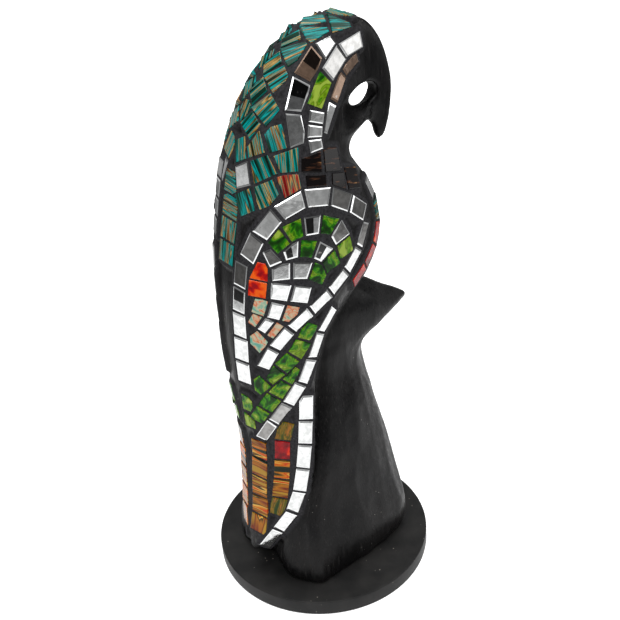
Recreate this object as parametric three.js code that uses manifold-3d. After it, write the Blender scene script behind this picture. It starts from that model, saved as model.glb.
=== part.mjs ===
import * as THREE from "three";
import { mergeVertices } from "three/addons/utils/BufferGeometryUtils.js";
import Module from "manifold-3d";

// Driving sizes, in millimetres
const HEIGHT = 400;
const BASE_RADIUS = 82.5;
const BASE_THICKNESS = 12;
const BASE_EDGE = 0.8;
const CLEARANCE = 0.35;
const TWIST_DEG = 6;
const TILE_THICKNESS = 2;
const GROUT_THICKNESS = 0.8;
const TILE_GAP = 1.7;
const ROW_GAP = 1.1;
const SEAT = 1.05;
const CLOSE_POINTS = 1e-4;
const GUIDE_STEPS = 40;
const CARVING_SMOOTHING = 0.15;
const ROW_SMOOTHING = 0.12;
const STUMP_MARGIN = 1.015;
const BASE_SEGMENTS = 56;
const MIRROR_WIDTH = 11;
const SLIM_WIDTH = 8;
const TEAL_WIDTH = 14;

// Slow turn of the carving about its upright axis, foot to crown
function turned(p) {
  const a = THREE.MathUtils.degToRad(TWIST_DEG * (1 - (2 * p.z) / HEIGHT));
  return new THREE.Vector3(
    p.x * Math.cos(a) - p.y * Math.sin(a),
    p.x * Math.sin(a) + p.y * Math.cos(a),
    p.z,
  );
}

// Half sections, from the back (0) to the front (1), as part of the half width
const OVAL = [
  [0, 0], [0.004, 0.25], [0.014, 0.48], [0.06, 0.73], [0.17, 0.91],
  [0.36, 1], [0.6, 0.93], [0.8, 0.68], [0.94, 0.34], [1, 0],
];
const KITE = [
  [0, 0], [0.02, 0.22], [0.07, 0.42], [0.19, 0.64], [0.34, 0.84],
  [0.48, 1], [0.56, 0.92], [0.7, 0.62], [0.88, 0.3], [1, 0],
];
const SIDE_POINTS = OVAL.length - 1;

// Stations of the bird from tail tip to beak tip:
// back point x z, front point x z, half width, share of the kite section
const BIRD = [
  [-69, 30, -50, 31, 8, 1],
  [-66, 50, -34, 50, 20, 1],
  [-62, 72, -15, 72, 30, 1],
  [-60, 92, -8, 94, 34, 1],
  [-57.5, 118, -2, 124, 36, 1],
  [-59.5, 148, 4, 152, 37, 1],
  [-61.5, 176, 12, 180, 37.5, 0.85],
  [-61.5, 203, 24, 203, 38, 0.6],
  [-59.5, 226, 39, 216, 39, 0.35],
  [-57.5, 244, 53.5, 229, 40, 0.15],
  [-54, 263, 62, 251, 39.5, 0],
  [-50, 282, 59.5, 275, 39.5, 0],
  [-46.5, 299, 50.5, 295, 38.5, 0],
  [-43, 315, 40, 310, 35.5, 0],
  [-38, 330.5, 39.5, 317, 31.5, 0],
  [-32.5, 343.5, 43.5, 322, 29, 0],
  [-25.5, 356, 49, 325, 27.5, 0],
  [-17, 367.5, 53, 327, 25.5, 0],
  [-5.5, 379, 56, 328, 23, 0],
  [8, 389.5, 57.5, 327.5, 18.8, 0],
  [23, 395.5, 58.5, 326, 13.5, 0],
  [39, 395.5, 59.5, 324.5, 9, 0],
  [54.5, 391, 60.5, 323, 7.5, 0],
  [66.5, 376, 61, 321, 7, 0],
  [72.5, 357, 61.5, 319, 6.5, 0],
  [73, 341, 62, 317, 6, 0],
  [71.5, 328, 63, 315.5, 5, 0],
  [68.5, 317, 64.5, 313, 3.3, 0],
];

function spline(a, b, c, d, s) {
  return 0.5 * (2 * b + (c - a) * s + (2 * a - 5 * b + 4 * c - d) * s * s
    + (3 * b - a - 3 * c + d) * s * s * s);
}

function along(table, t) {
  const last = table.length - 1;
  const i = Math.min(Math.max(Math.floor(t), 0), last - 1);
  const s = t - i;
  const row = (k) => table[Math.min(Math.max(k, 0), last)];
  return row(i).map((v, k) => spline(row(i - 1)[k], v, row(i + 1)[k], row(i + 2)[k], s));
}

// Point on the bird's skin: t along the stations, g round the half section, side -1 or 1
function skin(t, g, side) {
  const [bx, bz, fx, fz, w, kite] = along(BIRD, t);
  const oval = along(OVAL, g);
  const slab = along(KITE, g);
  const u = oval[0] + (slab[0] - oval[0]) * kite;
  const v = oval[1] + (slab[1] - oval[1]) * kite;
  return turned(new THREE.Vector3(bx + (fx - bx) * u, side * w * v, bz + (fz - bz) * u));
}

// Closed solid through a list of rings with the same number of points
function solidFromRings(rings) {
  const n = rings[0].length;
  const pos = [];
  const index = [];
  for (const ring of rings) {
    for (const p of ring) pos.push(p.x, p.y, p.z);
  }
  for (let r = 0; r < rings.length - 1; r += 1) {
    for (let i = 0; i < n; i += 1) {
      const a = r * n + i;
      const b = r * n + ((i + 1) % n);
      index.push(a, b, b + n, a, b + n, a + n);
    }
  }
  for (const r of [0, rings.length - 1]) {
    const middle = new THREE.Vector3();
    for (const p of rings[r]) middle.addScaledVector(p, 1 / n);
    const c = pos.length / 3;
    pos.push(middle.x, middle.y, middle.z);
    for (let i = 0; i < n; i += 1) {
      const a = r * n + i;
      const b = r * n + ((i + 1) % n);
      if (r === 0) index.push(c, b, a);
      else index.push(c, a, b);
    }
  }
  const g = new THREE.BufferGeometry();
  g.setAttribute("position", new THREE.Float32BufferAttribute(pos, 3));
  g.setIndex(index);
  return g;
}

const wasm = await Module();
wasm.setup();

function toSolid(geometry) {
  const g = geometry.clone();
  g.deleteAttribute("normal");
  g.deleteAttribute("uv");
  const m = mergeVertices(g, CLOSE_POINTS);
  return new wasm.Manifold(new wasm.Mesh({
    numProp: 3,
    vertProperties: new Float32Array(m.attributes.position.array),
    triVerts: new Uint32Array(m.index.array),
  }));
}

function toGeometry(solid) {
  const m = solid.getMesh();
  const g = new THREE.BufferGeometry();
  g.setAttribute("position", new THREE.BufferAttribute(m.vertProperties, 3));
  g.setIndex(new THREE.BufferAttribute(m.triVerts, 1));
  return g;
}

// The bird
function birdSolid() {
  const rings = [];
  for (let t = 0; t < BIRD.length; t += 1) {
    const ring = [];
    for (let i = 0; i <= SIDE_POINTS; i += 1) ring.push(skin(t, i, 1));
    for (let i = SIDE_POINTS - 1; i > 0; i -= 1) ring.push(skin(t, i, -1));
    rings.push(ring.reverse());
  }
  return toSolid(solidFromRings(rings));
}

// Stump sections: height, rear x, rear half width, corner x, corner half width,
// middle half width, front x, front half width
const STUMP = [
  [12, -56, 35, -42, 47, 50, 49, 42],
  [22, -57, 35, -42, 47, 51.5, 52, 44],
  [38, -54, 32, -40, 45, 51, 53.5, 42],
  [65, -48, 25, -34, 40, 45.5, 53.5, 33.5],
  [99, -38, 17, -20, 36, 38.5, 49.5, 25.5],
  [132, -30, 14, -11, 31, 32, 44, 18],
  [154, -26, 12, -6, 26, 26, 42, 12],
  [167, -24, 12, -4, 24, 24, 43.5, 9],
  [177, -24, 12, -2, 23, 23, 54, 7],
  [186, -24, 12, 0, 22, 22, 86.5, 3.5],
  [192.5, -24, 12, 2, 22, 22, 85, 3.5],
  [205, -20, 11, 6, 20, 21, 65, 6],
  [219, -12, 9, 10, 15, 16, 44, 5],
];

function stumpSolid() {
  const rings = [];
  for (const [z, xr, wr, xc, wc, wm, xf, wf] of STUMP) {
    const half = [
      [xr + 7, 0], [xr, wr * 0.65], [xr + 3, wr], [(xr + xc) / 2, (wr + wc) / 2 + 1.5],
      [xc, wc], [xc + (xf - xc) * 0.3, wm], [xc + (xf - xc) * 0.68, (wm * 0.65 + wf * 0.42)],
      [xf - 3, wf], [xf, wf * 0.6], [xf + 1.5, 0],
    ];
    const level = Math.max(z, BASE_THICKNESS + CLEARANCE);
    const ring = half.map(([x, y]) => turned(new THREE.Vector3(x, y, level)));
    for (let i = half.length - 2; i > 0; i -= 1) {
      ring.push(turned(new THREE.Vector3(half[i][0], -half[i][1], level)));
    }
    rings.push(ring.reverse());
  }
  return toSolid(solidFromRings(rings));
}

// The eye: a slanted opening through the head, flaring to a hollow on each side
const EYE_X = 52;
const EYE_Z = 346.5;
const EYE_LENGTH = 21;
const EYE_HEIGHT = 11;
const EYE_SLANT = 27;
const EYE_POINTS = 20;
const HOLLOW_DEPTH = 24;
const HOLLOW_LENGTH = 38;
const HOLLOW_SHIFT = 15;
const HOLLOW_HEIGHT = 34;

function eyeSolid() {
  const rings = [
    [-HOLLOW_DEPTH, -HOLLOW_SHIFT, HOLLOW_LENGTH, HOLLOW_HEIGHT],
    [0, 0, EYE_LENGTH, EYE_HEIGHT],
    [HOLLOW_DEPTH, -HOLLOW_SHIFT, HOLLOW_LENGTH, HOLLOW_HEIGHT],
  ].map(([y, x, length, height]) => {
    const ring = [];
    for (let i = 0; i < EYE_POINTS; i += 1) {
      const a = (i / EYE_POINTS) * Math.PI * 2;
      ring.push(new THREE.Vector3(x + (Math.cos(a) * length) / 2, y, (Math.sin(a) * height) / 2));
    }
    return ring.reverse();
  });
  const hole = toSolid(solidFromRings(rings));
  const tilt = TWIST_DEG * (1 - (2 * EYE_Z) / HEIGHT);
  return hole.rotate([0, -EYE_SLANT, 0]).translate([EYE_X, 0, EYE_Z]).rotate([0, 0, tilt]);
}

const carving = birdSolid().add(stumpSolid()).subtract(eyeSolid()).simplify(CARVING_SMOOTHING);

function baseGeometry() {
  const r = BASE_RADIUS;
  const t = BASE_THICKNESS;
  const e = BASE_EDGE;
  const profile = [
    [0, 0], [r - e, 0], [r, e], [r, t - e], [r - e, t], [0, t],
  ].map(([x, y]) => new THREE.Vector2(x, y));
  const g = new THREE.LatheGeometry(profile, BASE_SEGMENTS);
  g.rotateX(Math.PI / 2);
  return g;
}

const group = new THREE.Group();

function addMesh(name, geometry, [color, roughness, metalness]) {
  const material = new THREE.MeshStandardMaterial({ color, roughness, metalness });
  const mesh = new THREE.Mesh(geometry, material);
  mesh.name = name;
  group.add(mesh);
}

addMesh("carved_parrot_and_stump", toGeometry(carving), [0x18181a, 0.4, 0]);
addMesh("round_base", toGeometry(toSolid(baseGeometry())), [0x222224, 0.55, 0]);

// Mosaic
function skinAt(t, g) {
  return skin(t, Math.min(Math.abs(g), SIDE_POINTS), g < 0 ? -1 : 1);
}

function frameAt(t, g) {
  const h = 0.02;
  const p = skinAt(t, g);
  const dt = skinAt(t + h, g).sub(skinAt(t - h, g)).divideScalar(2 * h);
  const dg = skinAt(t, g + h).sub(skinAt(t, g - h)).divideScalar(2 * h);
  const n = new THREE.Vector3().crossVectors(dt, dg).normalize();
  return { p, dt, dg, n };
}

// Skin point under a point q, starting from a near guess on the skin
function skinUnder(q, t, g) {
  for (let k = 0; k < 4; k += 1) {
    const f = frameAt(t, g);
    const d = q.clone().sub(f.p);
    const a = f.dt.dot(f.dt);
    const b = f.dt.dot(f.dg);
    const c = f.dg.dot(f.dg);
    const det = a * c - b * b;
    const x = d.dot(f.dt);
    const y = d.dot(f.dg);
    t += THREE.MathUtils.clamp((x * c - y * b) / det, -0.5, 0.5);
    g += THREE.MathUtils.clamp((y * a - x * b) / det, -0.5, 0.5);
  }
  return frameAt(t, g);
}

// Smooth guide through a few points, sampled evenly by length
function guideLine(points, tiles) {
  const fine = [];
  const spans = (points.length - 1) * GUIDE_STEPS;
  for (let k = 0; k <= spans; k += 1) {
    const [t, g] = along(points, (k / spans) * (points.length - 1));
    fine.push({ t, g, p: skinAt(t, g) });
  }
  const run = [0];
  for (let k = 1; k < fine.length; k += 1) run.push(run[k - 1] + fine[k].p.distanceTo(fine[k - 1].p));
  const total = run[run.length - 1];
  const pitch = total / tiles;
  function at(s) {
    let k = 1;
    while (k < run.length - 1 && run[k] < s) k += 1;
    const f = (s - run[k - 1]) / (run[k] - run[k - 1]);
    const a = fine[k - 1];
    const b = fine[k];
    const t = a.t + (b.t - a.t) * f;
    const g = a.g + (b.g - a.g) * f;
    const frame = frameAt(t, g);
    const ahead = b.p.clone().sub(a.p);
    const across = new THREE.Vector3().crossVectors(frame.n, ahead).normalize();
    return { t, g, p: frame.p, n: frame.n, across };
  }
  return { pitch, at };
}

// One row of flat tiles joined by the lower grout between them
function rowSolid(points, tiles, width, grow = 0) {
  const line = guideLine(points, tiles);
  const rings = [];
  const half = width / 2 + grow;
  function ring(end, n, raise, thick) {
    const corners = [-half, half].map((w) => end.p.clone().addScaledVector(end.across, w));
    const low = corners.map((c) => c.clone().addScaledVector(n, raise - grow * 2));
    const high = corners.map((c) => c.clone().addScaledVector(n, raise + thick + grow));
    return [low[0], low[1], high[1], high[0]];
  }
  // Height at which a flat face with normal n, from end a to end b, clears the skin
  function lift(a, b, n, guess) {
    let most = 0;
    for (const w of [-1, -0.5, 0, 0.5, 1]) {
      const pa = a.p.clone().addScaledVector(a.across, w * half);
      const pb = b.p.clone().addScaledVector(b.across, w * half);
      for (const s of [0, 0.25, 0.5, 0.75, 1]) {
        const q = pa.clone().lerp(pb, s);
        const under = skinUnder(q, guess.t, guess.g);
        most = Math.max(most, under.p.sub(q).dot(n));
      }
    }
    return most + SEAT;
  }
  for (let k = 0; k < tiles; k += 1) {
    const a = line.at(k * line.pitch + (k === 0 ? -grow : TILE_GAP / 2));
    const b = line.at((k + 1) * line.pitch + (k === tiles - 1 ? grow : -TILE_GAP / 2));
    const n = a.n.clone().add(b.n).normalize();
    const raise = lift(a, b, n, line.at((k + 0.5) * line.pitch));
    rings.push(ring(a, n, raise, TILE_THICKNESS), ring(b, n, raise, TILE_THICKNESS));
    if (k < tiles - 1 && grow === 0) {
      const j = line.at((k + 1) * line.pitch);
      rings.push(ring(j, j.n, lift(j, j, j.n, j), GROUT_THICKNESS));
    }
  }
  const solid = toSolid(solidFromRings(rings));
  if (solid.volume() > 0) return solid;
  return toSolid(solidFromRings(rings.map((r) => r.slice().reverse())));
}

// Each new row is nipped to fit beside the stump and the rows already laid
const laid = [stumpSolid().scale([STUMP_MARGIN, STUMP_MARGIN, 1])];

function layRow(name, points, tiles, width, look) {
  let row = rowSolid(points, tiles, width);
  for (const cutter of laid) row = row.subtract(cutter);
  const parts = row.simplify(ROW_SMOOTHING).decompose().sort((a, b) => b.volume() - a.volume());
  laid.push(rowSolid(points, tiles, width, ROW_GAP));
  addMesh(name, toGeometry(parts[0]), look);
}

// Looks of the tiles: colour, roughness, metalness
const MIRROR = [0xccd2d4, 0.05, 1];
const BRONZE = [0x6a5446, 0.08, 1];
const TEAL = [0x2c8a80, 0.2, 0];
const GREEN = [0x5c922a, 0.2, 0];
const AMBER = [0xc4752c, 0.2, 0];
const RED = [0xb03028, 0.2, 0];
const PINK = [0xd08878, 0.2, 0];

// Rows on each side: name, guide points on the skin, tiles, width, look
const SIDE_ROWS = [
  ["wing_shoulder_border", [[10.2, 2.2], [11.5, 3.3], [12.2, 4.55], [12.1, 5.55], [11.1, 6.6]],
    6, MIRROR_WIDTH, MIRROR],
  ["wing_front_border", [[10.85, 6.55], [9.3, 5.6], [8.1, 4.5], [6.55, 2.75]], 7, SLIM_WIDTH, MIRROR],
  ["flank_border", [[8.3, 5.75], [6.6, 5.15], [5.45, 3.75], [4.45, 1.75]], 6, SLIM_WIDTH, MIRROR],
  ["tail_border", [[5.65, 4.8], [4, 4.5], [2.4, 4.35], [0.35, 4.1]], 7, SLIM_WIDTH + 1, MIRROR],
  ["tail_rear_column", [[4.4, 1.5], [2.9, 1.25], [0.95, 1.65]], 5, TEAL_WIDTH - 1, AMBER],
  ["tail_front_column", [[4.95, 3.6], [4.3, 3.15], [3, 3.05], [1.75, 2.95]], 5, TEAL_WIDTH - 3, AMBER],
  ["flank_outer_row", [[7.9, 4.95], [7, 4.5], [6.45, 3.5], [5.9, 2]], 5, TEAL_WIDTH - 3, GREEN],
  ["flank_inner_row", [[6.45, 4.5], [5.65, 3.05], [4.95, 1.7]], 4, TEAL_WIDTH - 3, GREEN],
  ["flank_tip_row", [[5.7, 1.25], [4.7, 0.95]], 2, SLIM_WIDTH + 1, GREEN],
  ["wing_arc_upper", [[10.7, 3.4], [11.25, 4.4], [11.1, 5.4], [10.05, 5.75]], 6, TEAL_WIDTH - 2, GREEN],
  ["wing_arc_middle", [[10.3, 3.2], [10.6, 4.3], [10.35, 5.1], [9.75, 5.4]], 5, TEAL_WIDTH - 3, GREEN],
  ["wing_row_a", [[9.95, 2.4], [9.9, 3.3], [9.9, 4.55], [9.55, 5.2]], 4, TEAL_WIDTH - 3, MIRROR],
  ["wing_row_b", [[9.35, 2.25], [9.3, 3.6], [9.05, 4.75]], 3, TEAL_WIDTH - 3, RED],
  ["wing_row_c", [[8.75, 2.5], [8.55, 3.5], [8.3, 4.4]], 3, TEAL_WIDTH - 3, PINK],
  ["wing_row_d", [[8.25, 2.35], [8, 3], [7.65, 3.75]], 3, TEAL_WIDTH - 3, PINK],
  ["wing_row_e", [[7.6, 2.3], [7.1, 3.1]], 1, TEAL_WIDTH - 4, PINK],
  ["face_row_a", [[20.6, 4.95], [18.5, 5.15], [16.8, 5.25], [15.15, 5.3]], 3, SLIM_WIDTH - 2, BRONZE],
  ["face_row_b", [[21.3, 4.2], [19.1, 4.6], [17.75, 4.6], [16.45, 4.75]], 3, SLIM_WIDTH + 2, MIRROR],
  ["face_row_c", [[16.4, 4.9], [14.9, 5.2], [14.1, 5.4]], 3, SLIM_WIDTH + 2, MIRROR],
  ["cheek_row", [[20, 4.15], [18.4, 3.75], [17.1, 3.85], [15.7, 4.2], [14.4, 4.7]],
    4, MIRROR_WIDTH + 1, MIRROR],
  ["chest_row", [[12.1, 7.5], [10.9, 7.45], [9.9, 6.95], [9, 6.25]], 5, SLIM_WIDTH, RED],
];

// The rear borders differ: on the left wing the border lies further round and runs on up the back
const REAR_ROWS = [
  ["right_wing_rear_border", [[10.1, -1.9], [8.6, -1.55], [7.2, -1.55], [6.05, -1.4]], 5],
  ["left_wing_rear_border", [[10.1, 2.2], [8.6, 2.15], [7.2, 2.1], [6.05, 1.9]], 5],
  ["left_back_border", [[13.3, 2], [11.8, 1.95], [10.4, 2.1]], 4],
];

for (const [name, points, tiles] of REAR_ROWS) layRow(name, points, tiles, MIRROR_WIDTH, MIRROR);

for (const [name, points, tiles, width, look] of SIDE_ROWS) {
  for (const [side, sign] of [["right", -1], ["left", 1]]) {
    const guide = points.map(([t, g]) => [t, g * sign]);
    layRow(`${side}_${name}`, guide, tiles, width, look);
  }
}

// Rows that pass over the crown and nape: name, station, fall, reach round, tiles
const BANDS = [
  ["crown_band_a", 21, 0.19, 3.75, 4],
  ["crown_band_b", 19.95, 0.25, 3.6, 4],
  ["crown_band_c", 18.9, 0.27, 3.2, 4],
  ["nape_band_a", 17.85, 0.3, 3.1, 4],
  ["nape_band_b", 16.75, 0.34, 3.4, 4],
  ["nape_band_c", 15.65, 0.3, 2.5, 3],
];
const BAND_WIDTH = TEAL_WIDTH + 2;

for (const [name, t, fall, reach, tiles] of BANDS) {
  const guide = [-1, -0.5, 0, 0.5, 1].map((g) => [t - fall * Math.abs(g) * reach, g * reach]);
  layRow(name, guide, tiles, BAND_WIDTH, TEAL);
}

const MANTLE_ROWS = [
  ["mantle_row_a", [[13.75, 0.2], [14, 1.3], [14.3, 2.5], [14.85, 4.1]], 3, TEAL_WIDTH, TEAL],
  ["mantle_row_b", [[12.9, 0.7], [13.35, 2.9], [13.8, 4.3], [13.5, 6.4]], 5, TEAL_WIDTH, TEAL],
  ["mantle_row_c", [[11.9, 1.1], [12.45, 3.1], [12.85, 4.9], [12.3, 7]], 6, TEAL_WIDTH, TEAL],
];

for (const [side, sign] of [["right", -1], ["left", 1]]) {
  for (const [name, points, tiles, width, look] of MANTLE_ROWS) {
    const guide = points.map(([t, g]) => [t, g * sign]);
    layRow(`${side}_${name}`, guide, tiles, width, look);
  }
}

layRow("spine_column", [[13.1, -0.45], [11.9, -0.3], [9.75, -0.1]], 4, TEAL_WIDTH + 4, TEAL);

export default group;
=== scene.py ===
import bmesh
import bpy
import math
import random
from mathutils import Matrix, Vector, noise
from mathutils.bvhtree import BVHTree


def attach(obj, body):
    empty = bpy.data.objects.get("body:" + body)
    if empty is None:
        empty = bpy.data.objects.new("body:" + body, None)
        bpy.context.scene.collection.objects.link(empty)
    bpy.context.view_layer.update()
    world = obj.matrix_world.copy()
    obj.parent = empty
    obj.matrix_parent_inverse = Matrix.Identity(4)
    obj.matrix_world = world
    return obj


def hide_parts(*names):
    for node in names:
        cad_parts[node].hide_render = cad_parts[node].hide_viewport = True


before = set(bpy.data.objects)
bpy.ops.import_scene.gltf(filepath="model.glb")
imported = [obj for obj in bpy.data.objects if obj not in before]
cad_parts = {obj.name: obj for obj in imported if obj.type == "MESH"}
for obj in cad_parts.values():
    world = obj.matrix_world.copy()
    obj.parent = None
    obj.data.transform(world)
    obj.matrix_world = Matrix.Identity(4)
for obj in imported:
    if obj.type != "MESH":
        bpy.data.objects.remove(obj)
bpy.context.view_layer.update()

MM = 0.001
random.seed(41)

# Sizes of the carving and the base, in millimetres, and angles in degrees
HEIGHT = 400
BASE_RADIUS = 82.5
BASE_THICKNESS = 12
BASE_ROUNDING = 0.8
ROUNDING_STEPS = 5
BASE_SIDES = 160
CLEARANCE = 0.35
TWIST_DEG = 6
EYE_X = 52
EYE_Z = 346.5
EYE_LENGTH = 21
EYE_HEIGHT = 11
EYE_SLANT = 27
EYE_SIDES = 48
LIP_DEPTH = 1.5
LIP_SHIFT = 0.5
LIP_LENGTH = EYE_LENGTH + 0.6
LIP_HEIGHT = EYE_HEIGHT + 0.8
HOLLOW_DEPTH = 24
HOLLOW_LENGTH = 38
HOLLOW_SHIFT = 15
HOLLOW_HEIGHT = 34

# The carving's skin: how fine it is, how far it is eased, and how deep the gouge cuts
VOXEL = 1.35
EASE_STEPS = 5
BIRD_GOUGE = 0.6
STUMP_GOUGE = 3.0
GOUGE_FADE = 30
GOUGE_LEVEL = 0.3
FINE_SHARE = 0.2
FOOT_MARGIN = 1.5

# Gouge cuts to a metre, across the grain and up it, and the most that one counts
WIDE_CUTS = (30, 9)
FINE_CUTS = (90, 35)
MOST_CUT = 0.9

# Unevenness of the bare wood: waves to a metre, and their height in millimetres
UNEVEN = ((55, 0.3), (160, 0.1))

# The tiles: thickness, gaps, and how a tile is cut and seated
TILE_THICKNESS = 2
TILE_FOOT = 0.9
TILE_GAP = 1.7
NIP_GAP = 1.2
NIP_REACH = 30
NIP_FACING = 0.2
SHORTEST_EDGE = 0.5
LEAST_LEFT = 0.22
SEAT = 0.05
SINK = 0.4
MOST_LIFT = 3.0
PROBE = 12
MIRROR_WIDTH = 11
SLIM_WIDTH = 8
TEAL_WIDTH = 14

# How evenly the tiles are laid, and the ground edge: how far in and how far down it runs
GUIDE_STEPS = 40
WIDTH_SPREAD = (0.93, 1.03)
MOST_SPIN = 2.5
MIRROR_SWAY = 1.7
GLASS_SWAY = 0.8
MIRROR_EDGE = (1.4, 0.35)
GLASS_EDGE = (0.5, 0.2)

# The grout bed: how far it lies below the tiles' tops, and how it runs out beside them
GROUT_DEPTH = 0.55
GROUT_EDGE = 2.2
GROUT_SPREAD = 2.6
BED_LOWEST = -6.0
BED_HIGHEST = 3.5
BED_FACING = 0.4
BED_FACING_FADE = 0.3
STEEPEST = 0.5

# Floor, in metres, and the camera, fitted to the round base's ellipse in the photograph,
# which is taken as 620 by 620
FLOOR_REACH = 15.0
FLOOR_POOL = 3.0
CAMERA_AZIMUTH = 33
CAMERA_PITCH = 27.81
CAMERA_ROLL = -4.36
CAMERA_PLACE = (-265.3, -413.2, 464.4)
FOCAL_PX = 800
FRAME_PX = 620
SENSOR_WIDTH = 36

# Half sections of the bird, from the back (0) to the front (1), as part of the half width
OVAL = [
    (0, 0), (0.004, 0.25), (0.014, 0.48), (0.06, 0.73), (0.17, 0.91),
    (0.36, 1), (0.6, 0.93), (0.8, 0.68), (0.94, 0.34), (1, 0),
]
KITE = [
    (0, 0), (0.02, 0.22), (0.07, 0.42), (0.19, 0.64), (0.34, 0.84),
    (0.48, 1), (0.56, 0.92), (0.7, 0.62), (0.88, 0.3), (1, 0),
]

# Stations of the bird from tail tip to beak tip:
# back point x z, front point x z, half width, share of the kite section
BIRD = [
    (-69, 30, -50, 31, 8, 1),
    (-66, 50, -34, 50, 20, 1),
    (-62, 72, -15, 72, 30, 1),
    (-60, 92, -8, 94, 34, 1),
    (-57.5, 118, -2, 124, 36, 1),
    (-59.5, 148, 4, 152, 37, 1),
    (-61.5, 176, 12, 180, 37.5, 0.85),
    (-61.5, 203, 24, 203, 38, 0.6),
    (-59.5, 226, 39, 216, 39, 0.35),
    (-57.5, 244, 53.5, 229, 40, 0.15),
    (-54, 263, 62, 251, 39.5, 0),
    (-50, 282, 59.5, 275, 39.5, 0),
    (-46.5, 299, 50.5, 295, 38.5, 0),
    (-43, 315, 40, 310, 35.5, 0),
    (-38, 330.5, 39.5, 317, 31.5, 0),
    (-32.5, 343.5, 43.5, 322, 29, 0),
    (-25.5, 356, 49, 325, 27.5, 0),
    (-17, 367.5, 53, 327, 25.5, 0),
    (-5.5, 379, 56, 328, 23, 0),
    (8, 389.5, 57.5, 327.5, 18.8, 0),
    (23, 395.5, 58.5, 326, 13.5, 0),
    (39, 395.5, 59.5, 324.5, 9, 0),
    (54.5, 391, 60.5, 323, 7.5, 0),
    (66.5, 376, 61, 321, 7, 0),
    (72.5, 357, 61.5, 319, 6.5, 0),
    (73, 341, 62, 317, 6, 0),
    (71.5, 328, 63, 315.5, 5, 0),
    (68.5, 317, 64.5, 313, 3.3, 0),
]

# Kinds of tile: material and a word for the piece's name. A capital letter turns the streaks
# a quarter round, w is a greyer mirror, d a darkened one, whose darkness is a painted dark
# reflection with a painted bright part past its middle, and c the darker red.
KINDS = {
    "m": ("mirror_tile", "mirror"),
    "w": ("mirror_tile", "mirror"),
    "d": ("mirror_tile", "mirror"),
    "b": ("bronze_mirror_tile", "bronze"),
    "t": ("teal_glass", "teal"),
    "g": ("green_glass", "green"),
    "a": ("amber_glass", "amber"),
    "r": ("red_glass", "red"),
    "c": ("red_glass", "red"),
    "p": ("rose_glass", "rose"),
    "k": ("black_glass", "black"),
    "o": ("olive_glass", "olive"),
    "s": ("striped_glass", "striped"),
}
MIRRORS = "mwdb"

# Span that the seed of a kind is drawn from. The others take any from 0 to 1.
SEEDS = {"m": (0.0, 0.4), "w": (0.5, 0.7), "d": (0.85, 1.0), "r": (0.65, 1.0), "c": (0.0, 0.35)}

# Rows on each side: name, guide points (station, place round the section), tiles, width
SIDE_ROWS = [
    ("wing_shoulder_border", [(10.2, 2.2), (11.5, 3.3), (12.2, 4.55), (12.1, 5.55), (11.1, 6.6)],
     "wmmmww", MIRROR_WIDTH),
    ("wing_front_border", [(10.85, 6.55), (9.3, 5.6), (8.1, 4.5), (6.55, 2.75)], "wmmmmmm", SLIM_WIDTH),
    ("flank_border", [(8.3, 5.75), (6.6, 5.15), (5.45, 3.75), (4.45, 1.75)], "mmmmww", SLIM_WIDTH),
    ("tail_border", [(5.65, 4.8), (4, 4.5), (2.4, 4.3), (1.3, 4.05), (0.35, 3.35)],
     "mmmmmmm", SLIM_WIDTH + 1),
    ("tail_rear_column", [(4.4, 1.5), (2.9, 1.25), (0.95, 1.65)], "aaaaA", TEAL_WIDTH - 1),
    ("tail_front_column", [(4.95, 3.6), (4.3, 3.15), (3, 3.05), (1.75, 2.95)], "ocaao", TEAL_WIDTH - 3),
    ("flank_outer_row", [(7.9, 4.95), (7, 4.5), (6.45, 3.5), (5.9, 2)], "ggggg", TEAL_WIDTH - 3),
    ("flank_inner_row", [(6.45, 4.5), (5.65, 3.05), (4.95, 1.7)], "gggg", TEAL_WIDTH - 3),
    ("flank_tip_row", [(5.7, 1.25), (4.7, 0.95)], "gg", SLIM_WIDTH + 1),
    ("wing_arc_upper", [(10.7, 3.4), (11.25, 4.4), (11.1, 5.4), (10.05, 5.75)], "ggdgwg", TEAL_WIDTH - 2),
    ("wing_arc_middle", [(10.3, 3.2), (10.6, 4.3), (10.35, 5.1), (9.75, 5.4)], "wdgdg", TEAL_WIDTH - 3),
    ("wing_row_a", [(9.95, 2.4), (9.9, 3.3), (9.9, 4.55), (9.55, 5.2)], "rmmg", TEAL_WIDTH - 3),
    ("wing_row_b", [(9.35, 2.25), (9.3, 3.6), (9.05, 4.75)], "rmm", TEAL_WIDTH - 3),
    ("wing_row_c", [(8.75, 2.5), (8.55, 3.5), (8.3, 4.4)], "pmp", TEAL_WIDTH - 3),
    ("wing_row_d", [(8.25, 2.35), (8, 3), (7.65, 3.75)], "pmp", TEAL_WIDTH - 3),
    ("wing_row_e", [(7.6, 2.3), (7.1, 3.1)], "p", TEAL_WIDTH - 4),
    ("face_row_b", [(21.3, 4.2), (19.1, 4.6), (17.75, 4.6), (16.45, 4.75)], "wwg", SLIM_WIDTH + 2),
    ("face_row_c", [(16.4, 4.9), (14.9, 5.2), (14.1, 5.4)], "mmm", SLIM_WIDTH + 2),
    ("face_row_a", [(20.6, 4.95), (18.5, 5.15), (16.8, 5.35), (15.15, 5.45)], "bbm", SLIM_WIDTH - 2),
    ("cheek_row", [(20, 4.15), (18.4, 3.75), (17.1, 3.85), (15.7, 4.2), (14.4, 4.7)],
     "mbdm", MIRROR_WIDTH + 1),
    ("chest_row", [(12.1, 7.5), (10.9, 7.45), (9.9, 6.95), (9, 6.25)], "mtccc", SLIM_WIDTH),
]

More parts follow.
